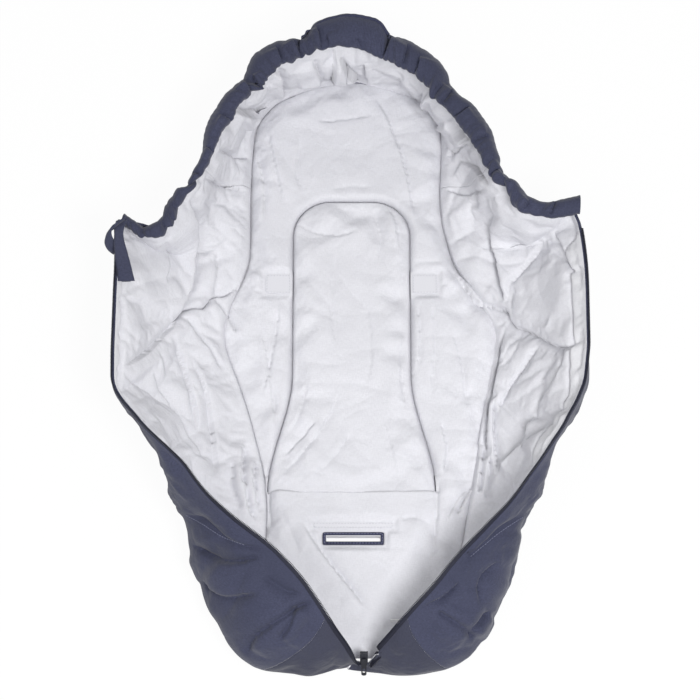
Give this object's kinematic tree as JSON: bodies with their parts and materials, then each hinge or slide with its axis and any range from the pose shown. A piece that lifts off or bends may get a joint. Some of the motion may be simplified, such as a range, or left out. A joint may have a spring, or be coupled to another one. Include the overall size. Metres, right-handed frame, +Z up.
{
  "type": "car seat footmuff",
  "caption": "Open infant car seat footmuff: padded bag with zipped front halves, elastic hood rim, arch-shaped harness flap, crotch strap slot and a pocket behind the hood.",
  "frame": {"origin": "middle of the bounding box on the floor, under the back panel", "axes": "+X to the footmuff's right seen from its foot end, +Y toward the hood, +Z up; it lies open on its back"},
  "size_m": [0.5504, 0.787, 0.1508],
  "materials": {
    "navy_fabric": "navy melange woven polyester, matt, water repellent",
    "navy_trim": "darker navy tape and hook-and-loop",
    "lining_fabric": "pale grey cotton jersey, soft and matt",
    "facing_fabric": "pale grey facing strip, flat woven",
    "wadding": "white polyester wadding",
    "elastic": "round covered elastic",
    "label_satin": "blank white satin label",
    "zip_dark": "near-black navy moulded coil and woven tape",
    "zip_metal": "dark enamelled zinc"
  },
  "bodies": {
    "bag": {"back_lining": "lining_fabric", "back_outer": "navy_fabric", "back_wadding": "wadding", "care_label": "label_satin", "collar_casing": "navy_fabric", "collar_elastic": "elastic", "crotch_slot_binding": "navy_trim", "crotch_slot_facing": "facing_fabric", "crotch_slot_stay": "lining_fabric", "hood_lining": "lining_fabric", "hood_outer": "navy_fabric", "hood_wadding": "wadding", "left_back_patch": "lining_fabric", "left_foot_lining": "lining_fabric", "left_foot_outer": "navy_fabric", "left_foot_wadding": "wadding", "left_lower_zip_chain": "zip_dark", "left_lower_zip_facing": "facing_fabric", "left_lower_zip_tape": "zip_dark", "right_back_patch": "lining_fabric", "right_foot_lining": "lining_fabric", "right_foot_outer": "navy_fabric", "right_foot_wadding": "wadding", "right_lower_zip_chain": "zip_dark", "right_lower_zip_facing": "facing_fabric", "right_lower_zip_tape": "zip_dark", "seat_pocket": "navy_fabric", "seat_pocket_hem": "navy_trim", "sole_lining": "lining_fabric", "sole_outer": "navy_fabric", "sole_wadding": "wadding", "zip_bottom_stop": "zip_metal"},
    "left_front": {"left_collar_end": "navy_fabric", "left_elastic_end": "elastic", "left_front_lining": "lining_fabric", "left_front_outer": "navy_fabric", "left_front_wadding": "wadding", "left_upper_zip_chain": "zip_dark", "left_upper_zip_facing": "facing_fabric", "left_upper_zip_tape": "zip_dark", "left_zip_top_stop": "zip_metal"},
    "right_front": {"right_collar_end": "navy_fabric", "right_collar_loop_patch": "navy_trim", "right_elastic_end": "elastic", "right_front_lining": "lining_fabric", "right_front_outer": "navy_fabric", "right_front_wadding": "wadding", "right_upper_zip_chain": "zip_dark", "right_upper_zip_facing": "facing_fabric", "right_upper_zip_tape": "zip_dark", "right_zip_top_stop": "zip_metal"},
    "slider": {"zip_slider": "zip_metal"},
    "puller": {"zip_puller": "zip_metal"},
    "harness_flap": {"harness_flap_backing": "navy_fabric", "harness_flap_lining": "lining_fabric", "harness_flap_wadding": "wadding"},
    "tab": {"collar_tab": "navy_fabric", "collar_tab_hook": "navy_trim"}
  },
  "joints": [
    {"name": "left_front_fold", "type": "hinge", "parent": "bag", "child": "left_front", "pos_m": [-0.15, 0, 0.011], "axis": [0, -1, 0], "range_deg": [-96, 0]},
    {"name": "right_front_fold", "type": "hinge", "parent": "bag", "child": "right_front", "pos_m": [0.15, 0, 0.011], "axis": [0, 1, 0], "range_deg": [-96, 0]},
    {"name": "zip_slide", "type": "slide", "parent": "bag", "child": "slider", "axis": [-0.0285, 0.9841, 0.1754], "range_m": [0, 0.4906]},
    {"name": "zip_puller_swing", "type": "hinge", "parent": "slider", "child": "puller", "pos_m": [0.014, -0.37906, 0.03746], "axis": [-1, 0, 0], "range_deg": [0, 150]},
    {"name": "harness_flap_fold", "type": "hinge", "parent": "bag", "child": "harness_flap", "pos_m": [0, -0.171, 0.009], "axis": [1, 0, 0], "range_deg": [0, 110]},
    {"name": "collar_tab_swing", "type": "hinge", "parent": "left_front", "child": "tab", "pos_m": [-0.252, 0.112, 0.1485], "axis": [-1, 0, 0], "range_deg": [0, 150]}
  ],
  "couplings": [
    {"joint": "zip_slide", "follows": "left_front_fold", "m_per_rad": -0.29269}
  ]
}
